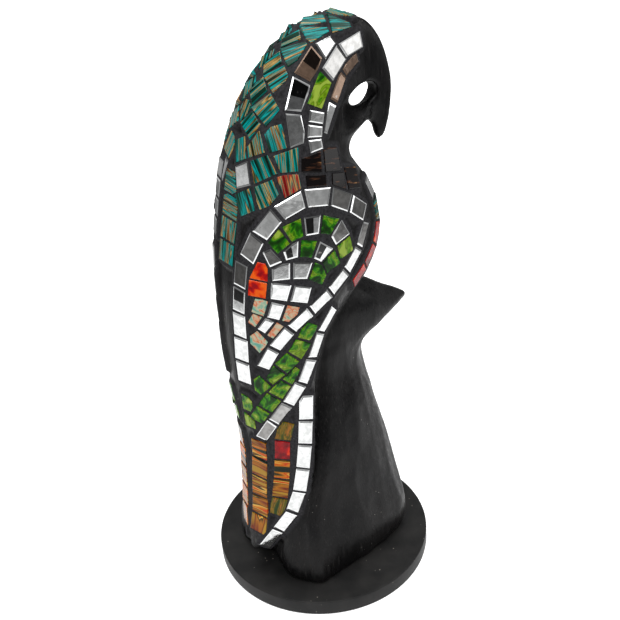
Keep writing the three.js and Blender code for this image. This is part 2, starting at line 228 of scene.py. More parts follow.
# The rear borders differ: on the left wing the border lies further round and runs on up the back
REAR_ROWS = [
    ("right_wing_rear_border", [(10.1, -1.9), (8.6, -1.55), (7.2, -1.55), (6.05, -1.4)],
     "wdmmm", MIRROR_WIDTH),
    ("left_wing_rear_border", [(10.1, 2.2), (8.6, 2.15), (7.2, 2.1), (6.05, 1.9)], "mmmmm", MIRROR_WIDTH),
    ("left_back_border", [(13.3, 2), (11.8, 1.95), (10.4, 2.1)], "mmmm", MIRROR_WIDTH),
]

# Rows that pass over the crown and nape: name, station, fall, reach round, tiles
BANDS = [
    ("crown_band_a", 21, 0.19, 3.75, "tttt"),
    ("crown_band_b", 19.95, 0.25, 3.6, "tttt"),
    ("crown_band_c", 18.9, 0.27, 3.2, "tttt"),
    ("nape_band_a", 17.85, 0.3, 3.1, "tttt"),
    ("nape_band_b", 16.75, 0.34, 3.4, "tttt"),
    ("nape_band_c", 15.65, 0.3, 2.5, "ttt"),
]
BAND_WIDTH = TEAL_WIDTH + 2

# Rows across each shoulder
MANTLE_ROWS = [
    ("mantle_row_a", [(13.75, 0.2), (14, 1.3), (14.3, 2.5), (14.85, 4.1)], "ttt", TEAL_WIDTH),
    ("mantle_row_b", [(12.9, 0.7), (13.35, 2.9), (13.8, 4.3), (13.5, 6.4)], "mttkk", TEAL_WIDTH),
    ("mantle_row_c", [(11.9, 1.1), (12.45, 3.1), (12.85, 4.9), (12.3, 7)], "ttskkk", TEAL_WIDTH),
]
SPINE_ROW = ("spine_column", [(13.1, -0.45), (11.9, -0.3), (9.75, -0.1)], "ttTT", TEAL_WIDTH + 4)

# Stump sections: height, rear x, rear half width, corner x, corner half width,
# middle half width, front x, front half width
STUMP = [
    (12.35, -56, 35, -42, 47, 50, 49, 42),
    (22, -57, 35, -42, 47, 51.5, 52, 44),
    (38, -54, 32, -40, 45, 51, 53.5, 42),
    (65, -48, 25, -34, 40, 45.5, 53.5, 33.5),
    (99, -38, 17, -20, 36, 38.5, 49.5, 25.5),
    (132, -30, 14, -11, 31, 32, 44, 18),
    (154, -26, 12, -6, 26, 26, 42, 12),
    (167, -24, 12, -4, 24, 24, 43.5, 9),
    (177, -24, 12, -2, 23, 23, 54, 7),
    (186, -24, 12, 0, 22, 22, 86.5, 3.5),
    (192.5, -24, 12, 2, 22, 22, 85, 3.5),
    (205, -20, 11, 6, 20, 21, 65, 6),
    (219, -12, 9, 10, 15, 16, 44, 5),
]


def clamp(value, low=0, high=1):
    return min(max(value, low), high)


def spline(a, b, c, d, s):
    """Smooth passage from b to c, s from 0 to 1, with a before and d after."""
    return 0.5 * (2 * b + (c - a) * s + (2 * a - 5 * b + 4 * c - d) * s * s
                  + (3 * b - a - 3 * c + d) * s * s * s)


def along(table, t):
    """The table's row at t, smoothly between its rows."""
    last = len(table) - 1
    i = clamp(math.floor(t), 0, last - 1)
    s = t - i

    def row(k):
        return table[clamp(k, 0, last)]

    return [spline(*values, s) for values in zip(row(i - 1), row(i), row(i + 1), row(i + 2))]


def turned(x, y, z, level=None):
    """The carving's slow turn about its upright axis, foot to crown, at z or at a level given."""
    a = math.radians(TWIST_DEG * (1 - 2 * (z if level is None else level) / HEIGHT))
    return Vector((x * math.cos(a) - y * math.sin(a), x * math.sin(a) + y * math.cos(a), z))


def skin(t, g):
    """Point on the bird's skin: t along the stations, g round the section, negative on its right."""
    side = -1 if g < 0 else 1
    g = min(abs(g), len(OVAL) - 1)
    bx, bz, fx, fz, w, kite = along(BIRD, t)
    oval = along(OVAL, g)
    slab = along(KITE, g)
    u = oval[0] + (slab[0] - oval[0]) * kite
    v = oval[1] + (slab[1] - oval[1]) * kite
    return turned(bx + (fx - bx) * u, side * w * v, bz + (fz - bz) * u)


def skin_frame(t, g):
    """Point on the skin, its directions along t and round g, and its outward normal."""
    h = 0.02
    dt = (skin(t + h, g) - skin(t - h, g)) / (2 * h)
    dg = (skin(t, g + h) - skin(t, g - h)) / (2 * h)
    return skin(t, g), dt, dg, dt.cross(dg).normalized()


def guide_line(points, tiles):
    """Smooth guide through a few points: its pitch, and a function from length to place."""
    spans = (len(points) - 1) * GUIDE_STEPS
    fine = [along(points, k / spans * (len(points) - 1)) for k in range(spans + 1)]
    spots = [skin(t, g) for t, g in fine]
    run = [0.0]
    for a, b in zip(spots, spots[1:]):
        run.append(run[-1] + (b - a).length)

    def at(s):
        k = 1
        while k < len(run) - 1 and run[k] < s:
            k += 1
        f = (s - run[k - 1]) / (run[k] - run[k - 1])
        t = fine[k - 1][0] + (fine[k][0] - fine[k - 1][0]) * f
        g = fine[k - 1][1] + (fine[k][1] - fine[k - 1][1]) * f
        p, _, _, n = skin_frame(t, g)
        across = n.cross(spots[k] - spots[k - 1]).normalized()
        return p, n, across

    return run[-1] / tiles, at


class Tile:
    """One flat tile: its plane and its outline in that plane."""

    def __init__(self, kind, origin, u, v, n):
        self.kind = kind.lower()
        self.crosswise = kind.isupper()
        self.origin = origin
        self.u = u
        self.v = v
        self.n = n
        self.outline = []
        self.lift = 0.0

    def place(self, x, y, z=0.0):
        return self.origin + self.u * x + self.v * y + self.n * z

    def flat(self, p):
        """The point's place in the tile's plane."""
        d = p - self.origin
        return d.dot(self.u), d.dot(self.v)


def area(poly):
    return 0.5 * sum(a[0] * b[1] - b[0] * a[1] for a, b in zip(poly, poly[1:] + poly[:1]))


def keep_side(poly, nx, ny, c):
    """The part of a convex outline where nx x + ny y is at least c."""
    out = []
    for a, b in zip(poly, poly[1:] + poly[:1]):
        da = nx * a[0] + ny * a[1] - c
        db = nx * b[0] + ny * b[1] - c
        if da >= 0:
            out.append(a)
        if da * db < 0:
            s = da / (da - db)
            out.append((a[0] + (b[0] - a[0]) * s, a[1] + (b[1] - a[1]) * s))
    return out


def nip(tile, other):
    """Cuts the tile straight along the side of a laid tile that costs it least."""
    if (tile.origin - other.origin).length > NIP_REACH or tile.n.dot(other.n) < NIP_FACING:
        return
    ring = [tile.flat(other.place(x, y)) for x, y in other.outline]
    if area(ring) < 0:
        ring.reverse()
    best = None
    for a, b in zip(ring, ring[1:] + ring[:1]):
        ex, ey = b[0] - a[0], b[1] - a[1]
        length = math.hypot(ex, ey)
        if length < SHORTEST_EDGE:
            continue
        nx, ny = ey / length, -ex / length
        kept = keep_side(tile.outline, nx, ny, nx * a[0] + ny * a[1] + NIP_GAP)
        size = abs(area(kept)) if len(kept) > 2 else 0
        if best is None or size > best[0]:
            best = (size, kept)
    if best:
        tile.outline = best[1]


def row_tiles(points, kinds, width):
    """The tiles of one row along its guide, each laid a little out of true."""
    tiles = []
    pitch, at = guide_line(points, len(kinds))
    for k, kind in enumerate(kinds):
        wide = width * random.uniform(*WIDTH_SPREAD)
        start = at(k * pitch + TILE_GAP / 2)
        end = at((k + 1) * pitch - TILE_GAP / 2)
        n = (start[1] + end[1]).normalized()
        corners = [
            start[0] - start[2] * wide / 2, end[0] - end[2] * wide / 2,
            end[0] + end[2] * wide / 2, start[0] + start[2] * wide / 2,
        ]
        origin = sum(corners, Vector()) / 4
        u = (end[0] - start[0]).normalized()
        u = (u - n * u.dot(n)).normalized()
        v = n.cross(u)
        spin = Matrix.Rotation(math.radians(random.uniform(-MOST_SPIN, MOST_SPIN)), 3, n)
        sway = MIRROR_SWAY if kind in MIRRORS else GLASS_SWAY
        tip = Matrix.Rotation(math.radians(random.uniform(-sway, sway)), 3, u)
        rock = Matrix.Rotation(math.radians(random.uniform(-sway, sway)), 3, v)
        turn = rock @ tip @ spin
        tile = Tile(kind, origin, turn @ u, turn @ v, turn @ n)
        tile.outline = [tile.flat(c) for c in corners]
        if area(tile.outline) < 0:
            tile.outline.reverse()
        tiles.append(tile)
    return tiles


def mirrored(rows):
    """The rows of the right side and their like on the left, in turn."""
    for name, points, kinds, width in rows:
        for side, sign in (("right", -1), ("left", 1)):
            yield f"{side}_{name}", [(t, g * sign) for t, g in points], kinds, width


def all_rows():
    """Every row in laying order, each tile nipped to fit beside those already laid."""
    plan = [*REAR_ROWS, *mirrored(SIDE_ROWS)]
    for name, t, fall, reach, kinds in BANDS:
        guide = [(t - fall * abs(g) * reach, g * reach) for g in (-1, -0.5, 0, 0.5, 1)]
        plan.append((name, guide, kinds, BAND_WIDTH))
    plan += [*mirrored(MANTLE_ROWS), SPINE_ROW]
    rows = []
    laid = []
    for name, points, kinds, width in plan:
        kept = []
        for tile in row_tiles(points, kinds, width):
            whole = abs(area(tile.outline))
            for other in laid:
                if len(tile.outline) > 2:
                    nip(tile, other)
            if len(tile.outline) > 2 and abs(area(tile.outline)) > LEAST_LEFT * whole:
                kept.append(tile)
                laid.append(tile)
        rows.append((name, kept))
    return rows


# Looks: how far apart the seeds set two tiles' patterns, and how strong the streaks are
SEED_SPREAD = 40.0
CONTRAST = 2.7


# Node helpers
def new_material(name):
    material = bpy.data.materials.new(name)
    material.use_nodes = True
    return material, material.node_tree, material.node_tree.nodes["Principled BSDF"]


def feed(tree, socket, value):
    """Links the socket to another socket, or sets it to a number or a colour."""
    if isinstance(value, bpy.types.NodeSocket):
        tree.links.new(value, socket)
    elif isinstance(value, tuple):
        socket.default_value = (*value, 1)
    else:
        socket.default_value = value


def add_node(tree, kind, inputs=None, **settings):
    node = tree.nodes.new(kind)
    for key, value in settings.items():
        setattr(node, key, value)
    for key, value in (inputs or {}).items():
        feed(tree, node.inputs[key], value)
    return node


def ramp(tree, factor, stops):
    node = add_node(tree, "ShaderNodeValToRGB", {"Fac": factor})
    elements = node.color_ramp.elements
    while len(elements) < len(stops):
        elements.new(0.5)
    for element, (place, color) in zip(elements, stops):
        element.position = place
        element.color = (*color, 1)
    return node.outputs["Color"]


def mix(tree, factor, a, b, blend="MIX"):
    node = add_node(tree, "ShaderNodeMix", {0: factor, 6: a, 7: b}, data_type="RGBA", blend_type=blend)
    return node.outputs[2]


def math_node(tree, operation, a, b=0.0, clamped=False):
    node = add_node(tree, "ShaderNodeMath", {0: a, 1: b}, operation=operation, use_clamp=clamped)
    return node.outputs[0]


def bump_node(tree, shader, height, strength, distance):
    bump = add_node(tree, "ShaderNodeBump", {"Height": height, "Strength": strength, "Distance": distance})
    tree.links.new(bump.outputs[0], shader.inputs["Normal"])


def make_group(name, inputs, outputs):
    group = bpy.data.node_groups.new(name, "ShaderNodeTree")
    for label, kind, value in inputs:
        socket = group.interface.new_socket(name=label, in_out="INPUT", socket_type=kind)
        if value is not None:
            socket.default_value = value
    for label, kind in outputs:
        group.interface.new_socket(name=label, in_out="OUTPUT", socket_type=kind)
    start = group.nodes.new("NodeGroupInput")
    end = group.nodes.new("NodeGroupOutput")
    return group, start.outputs, end.inputs


def use_group(tree, group, values):
    return add_node(tree, "ShaderNodeGroup", values, node_tree=group).outputs


def dust_group():
    """Pale specks of dust, in patches, as a mask."""
    group, given, result = make_group(
        "dust specks",
        [("Vector", "NodeSocketVector", None), ("Scale", "NodeSocketFloat", 500.0),
         ("Amount", "NodeSocketFloat", 0.5)],
        [("Mask", "NodeSocketFloat")],
    )
    cells = add_node(group, "ShaderNodeTexVoronoi", {"Vector": given["Vector"], "Scale": given["Scale"]})
    dots = math_node(group, "LESS_THAN", cells.outputs["Distance"], 0.09)
    patch = add_node(group, "ShaderNodeTexNoise", {"Vector": given["Vector"], "Scale": 45.0, "Detail": 3.0})
    limit = math_node(group, "SUBTRACT", 1.0, given["Amount"])
    chance = math_node(group, "GREATER_THAN", patch.outputs["Fac"], limit)
    group.links.new(math_node(group, "MULTIPLY", dots, chance), result["Mask"])
    return group


def scratch_group():
    """Fine brushed scratches along one direction, as a value."""
    group, given, result = make_group(
        "fine scratches",
        [("Vector", "NodeSocketVector", None), ("Stretch", "NodeSocketVector", (900.0, 900.0, 60.0))],
        [("Value", "NodeSocketFloat")],
    )
    long = add_node(group, "ShaderNodeVectorMath", {0: given["Vector"], 1: given["Stretch"]},
                    operation="MULTIPLY")
    lines = add_node(group, "ShaderNodeTexNoise", {"Vector": long.outputs[0], "Scale": 1.0, "Detail": 4.0})
    group.links.new(lines.outputs["Fac"], result["Value"])
    return group


def tile_frame_group():
    """Place within a tile, stretched along and across it and moved by the tile's own seed."""
    group, given, result = make_group(
        "tile place",
        [("Along", "NodeSocketFloat", 1.0), ("Across", "NodeSocketFloat", 1.0)],
        [("Vector", "NodeSocketVector"), ("Seed", "NodeSocketFloat")],
    )
    uv = add_node(group, "ShaderNodeUVMap", uv_map="tile")
    seed = add_node(group, "ShaderNodeAttribute", attribute_name="seed")
    parts = add_node(group, "ShaderNodeSeparateXYZ", {0: uv.outputs["UV"]})
    joined = add_node(group, "ShaderNodeCombineXYZ", {
        "X": math_node(group, "MULTIPLY", parts.outputs["X"], given["Along"]),
        "Y": math_node(group, "MULTIPLY", parts.outputs["Y"], given["Across"]),
        "Z": math_node(group, "MULTIPLY", seed.outputs["Fac"], SEED_SPREAD),
    })
    group.links.new(joined.outputs[0], result["Vector"])
    group.links.new(seed.outputs["Fac"], result["Seed"])
    return group


DUST = dust_group()
SCRATCHES = scratch_group()
TILE_PLACE = tile_frame_group()


def painted_wood():
    """Black paint over carved wood, worn along the scratches, with the grout where tiles are near."""
    material, tree, shader = new_material("black_painted_wood")
    place = add_node(tree, "ShaderNodeTexCoord").outputs["Object"]
    scratch = use_group(tree, SCRATCHES, {"Vector": place})["Value"]
    dust = use_group(tree, DUST, {"Vector": place, "Scale": 260.0, "Amount": 0.42})["Mask"]
    grout = add_node(tree, "ShaderNodeAttribute", attribute_name="grout").outputs["Fac"]
    grain = add_node(tree, "ShaderNodeTexNoise", {"Vector": place, "Scale": 700.0, "Detail": 4.0})
    cloud = add_node(tree, "ShaderNodeTexNoise", {"Vector": place, "Scale": 22.0, "Detail": 4.0})
    paint = ramp(tree, cloud.outputs["Fac"],
                 [(0.35, (0.001, 0.001, 0.0012)), (0.65, (0.007, 0.0065, 0.0065))])
    bed = ramp(tree, grain.outputs["Fac"], [(0.3, (0.009, 0.009, 0.01)), (0.7, (0.03, 0.029, 0.032))])
    worn = ramp(tree, scratch, [(0.6, (0, 0, 0)), (0.75, (0.016, 0.015, 0.014))])
    color = mix(tree, grout, mix(tree, 1.0, paint, worn, "ADD"), bed)
    color = mix(tree, math_node(tree, "MULTIPLY", dust, 0.6), color, (0.24, 0.23, 0.21))
    tree.links.new(color, shader.inputs["Base Color"])
    gloss = ramp(tree, scratch, [(0.35, (0.26, 0.26, 0.26)), (0.65, (0.5, 0.5, 0.5))])
    rough = mix(tree, grout, gloss, (0.75, 0.75, 0.75))
    tree.links.new(rough, shader.inputs["Roughness"])
    shader.inputs["Specular IOR Level"].default_value = 0.13
    relief = math_node(tree, "ADD", math_node(tree, "MULTIPLY", scratch, 0.5),
                       math_node(tree, "MULTIPLY", grain.outputs["Fac"], 0.5))
    bump_node(tree, shader, relief, 0.25, 0.0006)
    return material


def base_paint():
    """Flat black paint, a little greyer than the carving's."""
    material, tree, shader = new_material("flat_black_base_paint")
    place = add_node(tree, "ShaderNodeTexCoord").outputs["Object"]
    dust = use_group(tree, DUST, {"Vector": place, "Scale": 200.0, "Amount": 0.45})["Mask"]
    cloud = add_node(tree, "ShaderNodeTexNoise", {"Vector": place, "Scale": 60.0, "Detail": 6.0})
    paint = ramp(tree, cloud.outputs["Fac"],
                 [(0.35, (0.004, 0.004, 0.004)), (0.65, (0.012, 0.0115, 0.011))])
    color = mix(tree, math_node(tree, "MULTIPLY", dust, 0.6), paint, (0.25, 0.23, 0.2))
    tree.links.new(color, shader.inputs["Base Color"])
    shader.inputs["Roughness"].default_value = 0.5
    shader.inputs["Specular IOR Level"].default_value = 0.2
    bump_node(tree, shader, cloud.outputs["Fac"], 0.2, 0.0005)
    return material


def mirror_glass(name, tint, roughness, metallic=1.0):
    """Mirror that its seed greys or darkens, with a bright ground edge. The darkening is a painted
    dark reflection, and a darkened mirror has a painted bright reflection past its middle.
    """
    material, tree, shader = new_material(name)
    place = use_group(tree, TILE_PLACE, {"Along": 260.0, "Across": 260.0})
    blotch = add_node(tree, "ShaderNodeTexNoise", {"Vector": place["Vector"], "Scale": 1.0, "Detail": 5.0})
    rim = add_node(tree, "ShaderNodeAttribute", attribute_name="rim").outputs["Fac"]
    # Tone by the seed, from plain through greyer to nearly black; the nearly black is a painted dark
    # reflection
    tone_and_painted_reflection = ramp(tree, place["Seed"], [
        (0.0, (1, 1, 1)), (0.4, (0.86, 0.86, 0.85)), (0.5, (0.5, 0.49, 0.48)),
        (0.7, (0.3, 0.29, 0.28)), (0.85, (0.06, 0.06, 0.06)), (1.0, (0.03, 0.03, 0.03)),
    ])
    patch = ramp(tree, blotch.outputs["Fac"], [(0.4, (0.75, 0.75, 0.75)), (0.6, (1, 1, 1))])
    # Painted bright reflection: a darkened mirror turns bright past its middle
    side = add_node(tree, "ShaderNodeSeparateXYZ", {0: place["Vector"]}).outputs["X"]
    bright = ramp(tree, math_node(tree, "ADD", side, 0.5), [(0.68, (0, 0, 0)), (0.7, (1, 1, 1))])
    darkened = math_node(tree, "GREATER_THAN", place["Seed"], 0.8)
    tone_and_painted_reflection = mix(tree, math_node(tree, "MULTIPLY", darkened, bright), tone_and_painted_reflection, (1.0, 1.0, 1.0))
    color = mix(tree, 1.0, tint, mix(tree, 1.0, tone_and_painted_reflection, patch, "MULTIPLY"), "MULTIPLY")
    edge = ramp(tree, rim, [(0.0, (0.3, 0.3, 0.3)), (0.35, (0.88, 0.88, 0.88))])
    ground = mix(tree, 1.0, tint, edge, "MULTIPLY")
    color = mix(tree, math_node(tree, "GREATER_THAN", rim, 0.04), color, ground)
    spots = math_node(tree, "GREATER_THAN", blotch.outputs["Fac"], 0.7)
    color = mix(tree, math_node(tree, "MULTIPLY", spots, 0.5), color, (0.35, 0.33, 0.31))
    tree.links.new(color, shader.inputs["Base Color"])
    shader.inputs["Metallic"].default_value = metallic
    rough = ramp(tree, blotch.outputs["Fac"], [(0.4, (roughness,) * 3), (0.8, (roughness * 3,) * 3)])
    tree.links.new(rough, shader.inputs["Roughness"])
    bump_node(tree, shader, blotch.outputs["Fac"], 0.12, 0.0004)
    return material


def streaked_glass(name, stops, along_scale, across_scale, wander, shift=0.12, speck=None):
    """Glass with streaks of colour: how fine they are along and across the tile, how far they
    wander, how far the seed shifts the colours, and the colour of its specks."""
    material, tree, shader = new_material(name)
    place = use_group(tree, TILE_PLACE, {"Along": along_scale, "Across": across_scale})
    bend = add_node(tree, "ShaderNodeTexNoise", {"Vector": place["Vector"], "Scale": 0.35, "Detail": 2.0})
    push = add_node(tree, "ShaderNodeVectorMath", {0: bend.outputs["Color"], "Scale": wander},
                    operation="SCALE")
    moved = add_node(tree, "ShaderNodeVectorMath", {0: place["Vector"], 1: push.outputs[0]},
                     operation="ADD")
    streak = add_node(tree, "ShaderNodeTexNoise",
                      {"Vector": moved.outputs[0], "Scale": 1.0, "Detail": 2.0, "Roughness": 0.5})
    lift = math_node(tree, "MULTIPLY", math_node(tree, "SUBTRACT", place["Seed"], 0.5), shift)
    middle = math_node(tree, "ADD", lift, 0.5)
    swing = math_node(tree, "SUBTRACT", streak.outputs["Fac"], 0.5)
    spread = math_node(tree, "ADD", math_node(tree, "MULTIPLY", swing, CONTRAST), middle, True)
    color = ramp(tree, spread, stops)
    if speck:
        grit = add_node(tree, "ShaderNodeTexNoise",
                        {"Vector": place["Vector"], "Scale": 6.0, "Detail": 2.0})
        mask = math_node(tree, "GREATER_THAN", grit.outputs["Fac"], 0.66)
        color = mix(tree, math_node(tree, "MULTIPLY", mask, 0.6), color, speck)
    tree.links.new(color, shader.inputs["Base Color"])
    shader.inputs["Roughness"].default_value = 0.2
    shader.inputs["Specular IOR Level"].default_value = 0.1
    shader.inputs["Coat Weight"].default_value = 0.14
    shader.inputs["Coat Roughness"].default_value = 0.04
    return material


def black_glass():
    """Black glass with a few thin brown streaks."""
    material, tree, shader = new_material("black_glass")
    place = use_group(tree, TILE_PLACE, {"Along": 90.0, "Across": 500.0})
    streak = add_node(tree, "ShaderNodeTexNoise", {"Vector": place["Vector"], "Scale": 1.0, "Detail": 4.0})
    color = ramp(tree, streak.outputs["Fac"],
                 [(0.55, (0.004, 0.003, 0.003)), (0.66, (0.05, 0.02, 0.01)), (0.72, (0.3, 0.16, 0.06))])
    tree.links.new(color, shader.inputs["Base Color"])
    shader.inputs["Roughness"].default_value = 0.12
    shader.inputs["Specular IOR Level"].default_value = 0.12
    return material


MATERIALS = {
    "painted_wood": painted_wood(),
    "base_wood": base_paint(),
    "mirror_tile": mirror_glass("silver_mirror", (0.76, 0.77, 0.77), 0.035),
    "bronze_mirror_tile": mirror_glass("bronze_mirror", (0.2, 0.13, 0.09), 0.06, 0.6),
    "teal_glass": streaked_glass("teal_streaked_glass", [
        (0.0, (0.001, 0.006, 0.005)), (0.2, (0.002, 0.03, 0.014)), (0.32, (0.0, 0.08, 0.07)),
        (0.43, (0.0, 0.26, 0.25)), (0.48, (0.0, 0.14, 0.13)), (0.52, (0.003, 0.03, 0.01)),
        (0.58, (0.22, 0.1, 0.02)), (0.63, (0.42, 0.28, 0.1)), (0.68, (0.002, 0.04, 0.02)),
        (0.74, (0.0, 0.23, 0.22)), (0.88, (0.22, 0.08, 0.015)), (1.0, (0.004, 0.012, 0.003)),
    ], 330.0, 15.0, 0.4),
    "striped_glass": streaked_glass("red_striped_glass", [
        (0.0, (0.04, 0.001, 0.001)), (0.3, (0.3, 0.006, 0.004)), (0.42, (0.004, 0.1, 0.08)),
        (0.52, (0.36, 0.22, 0.07)), (0.58, (0.3, 0.006, 0.004)), (0.68, (0.003, 0.08, 0.05)),
        (0.8, (0.25, 0.004, 0.003)), (1.0, (0.1, 0.004, 0.003)),
    ], 330.0, 15.0, 0.4),
    "green_glass": streaked_glass("green_marbled_glass", [
        (0.0, (0.003, 0.02, 0.001)), (0.25, (0.006, 0.05, 0.001)), (0.38, (0.012, 0.12, 0.002)),
        (0.48, (0.06, 0.21, 0.003)), (0.55, (0.02, 0.1, 0.001)), (0.66, (0.14, 0.27, 0.008)),
        (0.78, (0.07, 0.13, 0.002)), (1.0, (0.24, 0.34, 0.04)),
    ], 110.0, 150.0, 3.2, 0.3),
    "olive_glass": streaked_glass("olive_streaked_glass", [
        (0.0, (0.01, 0.03, 0.001)), (0.4, (0.06, 0.06, 0.002)), (0.55, (0.2, 0.1, 0.004)),
        (0.7, (0.04, 0.045, 0.002)), (1.0, (0.3, 0.1, 0.008)),
    ], 60.0, 300.0, 0.8),
    "amber_glass": streaked_glass("amber_streaked_glass", [
        (0.0, (0.002, 0.004, 0.001)), (0.28, (0.006, 0.012, 0.001)), (0.33, (0.16, 0.06, 0.001)),
        (0.42, (0.45, 0.13, 0.001)), (0.48, (0.38, 0.025, 0.001)), (0.52, (0.4, 0.12, 0.001)),
        (0.57, (0.55, 0.33, 0.06)), (0.6, (0.004, 0.01, 0.001)), (0.7, (0.3, 0.1, 0.001)),
        (0.86, (0.1, 0.006, 0.001)), (1.0, (0.3, 0.16, 0.01)),
    ], 120.0, 14.0, 0.6, 0.4),
    "red_glass": streaked_glass("red_glass", [
        (0.0, (0.12, 0.002, 0.004)), (0.35, (0.24, 0.003, 0.006)), (0.5, (0.3, 0.004, 0.004)),
        (0.66, (0.5, 0.015, 0.002)), (1.0, (0.65, 0.09, 0.006)),
    ], 130.0, 150.0, 1.4, 0.6),
    "rose_glass": streaked_glass("rose_mottled_glass", [
        (0.0, (0.1, 0.28, 0.22)), (0.36, (0.3, 0.38, 0.26)), (0.46, (0.45, 0.36, 0.24)),
        (0.54, (0.5, 0.24, 0.15)), (0.62, (0.48, 0.1, 0.03)), (0.72, (0.5, 0.26, 0.15)),
        (1.0, (0.42, 0.38, 0.26)),
    ], 190.0, 230.0, 2.2, 0.2, (0.05, 0.25, 0.26)),
    "black_glass": black_glass(),
}


# Mesh helpers
def add_object(name, data):
    made = bpy.data.objects.new(name, data)
    bpy.context.scene.collection.objects.link(made)
    return made


def mesh_object(name, bm):
    mesh = bpy.data.meshes.new(name)
    bm.to_mesh(mesh)
    bm.free()
    return add_object(name, mesh)


def stitch(bm, low, high):
    """A band of faces between two rings of as many points."""
    count = len(low)
    band = []
    for i in range(count):
        j = (i + 1) % count
        band.append(bm.faces.new((low[i], low[j], high[j], high[i])))
    return band


def add_tile(bm, tile, uv_layer, seed_layer, rim_layer):
    """A bevelled tile: its foot in the grout, a ground edge and a flat top."""
    seed = random.uniform(*SEEDS.get(tile.kind, (0.0, 1.0)))
    inset, drop = MIRROR_EDGE if tile.kind in MIRRORS else GLASS_EDGE
    count = len(tile.outline)
    cx = sum(x for x, _ in tile.outline) / count
    cy = sum(y for _, y in tile.outline) / count

    top = tile.lift + TILE_THICKNESS
    made = []
    flat = {}
    for narrowed, z, rim in ((0, tile.lift - TILE_FOOT, 1.0), (0, top - drop, 1.0), (inset, top, 0.0)):
        row = []
        for x, y in tile.outline:
            s = max(0.0, 1 - narrowed / math.hypot(x - cx, y - cy))
            px, py = cx + (x - cx) * s, cy + (y - cy) * s
            vert = bm.verts.new(tile.place(px, py, z) * MM)
            vert[rim_layer] = rim
            flat[vert] = (py * MM, px * MM) if tile.crosswise else (px * MM, py * MM)
            row.append(vert)
        made.append(row)
    faces = [bm.faces.new(made[-1]), bm.faces.new(made[0][::-1])]
    for low, high in zip(made, made[1:]):
        faces += stitch(bm, low, high)
    for face in faces:
        for loop in face.loops:
            loop[uv_layer].uv = flat[loop.vert]
            loop.vert[seed_layer] = seed


def seat_tile(tile, carving):
    """Sets how far the tile lies above its own plane, by the carving's highest spot under it."""
    spots = [(0, 0)] + tile.outline
    spots += [((a[0] + b[0]) / 2, (a[1] + b[1]) / 2)
              for a, b in zip(tile.outline, tile.outline[1:] + tile.outline[:1])]
    highest = 0.0
    for x, y in spots:
        hit, _, _, _ = carving.ray_cast(tile.place(x, y, PROBE) * MM, -tile.n, 2 * PROBE * MM)
        if hit:
            highest = max(highest, (hit / MM - tile.origin).dot(tile.n))
    tile.lift = min(highest, MOST_LIFT) * SINK + SEAT


def tile_pieces(name, tiles):
    """The tiles of a row, one piece for each kind of glass in it."""
    kinds = sorted({KINDS[tile.kind] for tile in tiles})
    for glass, word in kinds:
        bm = bmesh.new()
        uv_layer = bm.loops.layers.uv.new("tile")
        seed_layer = bm.verts.layers.float.new("seed")
        rim_layer = bm.verts.layers.float.new("rim")
        for tile in tiles:
            if KINDS[tile.kind] == (glass, word):
                add_tile(bm, tile, uv_layer, seed_layer, rim_layer)
        title = name if len(kinds) == 1 else f"{name}_{word}"
        piece = mesh_object(title + "_tiles", bm)
        piece.data.materials.append(MATERIALS[glass])
        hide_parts(name)
        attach(piece, "root")


# The carving
def loft(bm, rings):
    """Closed skin through rings of points, with a fan at each end."""
    made = [[bm.verts.new(p * MM) for p in ring] for ring in rings]
    count = len(made[0])
    for low, high in zip(made, made[1:]):
        stitch(bm, low, high)
    for ring, turn in ((made[0], -1), (made[-1], 1)):
        middle = bm.verts.new(sum((v.co for v in ring), Vector()) / count)
        for i in range(count):
            pair = (ring[i], ring[(i + 1) % count])[::turn]
            bm.faces.new((*pair, middle))


def rough_piece(name, rings):
    bm = bmesh.new()
    loft(bm, rings)
    bmesh.ops.recalc_face_normals(bm, faces=bm.faces)
    return mesh_object(name, bm)


def bird_rings():
    rings = []
    front = len(OVAL) - 1
    for k in range((len(BIRD) - 1) * 4 + 1):
        t = k / 4
        ring = [skin(t, g / 2) for g in range(front * 2 + 1)]
        ring += [skin(t, -g / 2) for g in range(front * 2 - 1, 0, -1)]
        rings.append(ring)
    return rings


def stump_rings():
    rings = []
    for k in range((len(STUMP) - 1) * 3 + 1):
        z, xr, wr, xc, wc, wm, xf, wf = along(STUMP, k / 3)
        half = [
            (xr + 7, 0), (xr, wr * 0.65), (xr + 3, wr), ((xr + xc) / 2, (wr + wc) / 2),
            (xc - 0.6, wc + 1.6), (xc + (xf - xc) * 0.3, wm),
            (xc + (xf - xc) * 0.68, wm * 0.65 + wf * 0.42), (xf - 3, wf),
            (xf, wf * 0.6), (xf + 1.5, 0),
        ]
        fine = [along(half, i / 2) for i in range(len(half) * 2 - 1)]
        ring = [turned(x, y, z) for x, y in fine]
        ring += [turned(x, -y, z) for x, y in fine[-2:0:-1]]
        rings.append(ring)
    return rings


def eye_rings():
    """The slanted opening through the head, flaring to a hollow on each side."""
    slant = math.radians(EYE_SLANT)
    rings = []
    for y, back, length, height in (
        (-HOLLOW_DEPTH, HOLLOW_SHIFT, HOLLOW_LENGTH, HOLLOW_HEIGHT),
        (-LIP_DEPTH, LIP_SHIFT, LIP_LENGTH, LIP_HEIGHT),
        (0, 0, EYE_LENGTH, EYE_HEIGHT),
        (LIP_DEPTH, LIP_SHIFT, LIP_LENGTH, LIP_HEIGHT),
        (HOLLOW_DEPTH, HOLLOW_SHIFT, HOLLOW_LENGTH, HOLLOW_HEIGHT),
    ):
        ring = []
        for i in range(EYE_SIDES):
            a = math.tau * i / EYE_SIDES
            x = math.cos(a) * length / 2 - back
            z = math.sin(a) * height / 2
            px = EYE_X + x * math.cos(slant) - z * math.sin(slant)
            pz = EYE_Z + x * math.sin(slant) + z * math.cos(slant)
            ring.append(turned(px, y, pz, EYE_Z))
        rings.append(ring)
    return rings


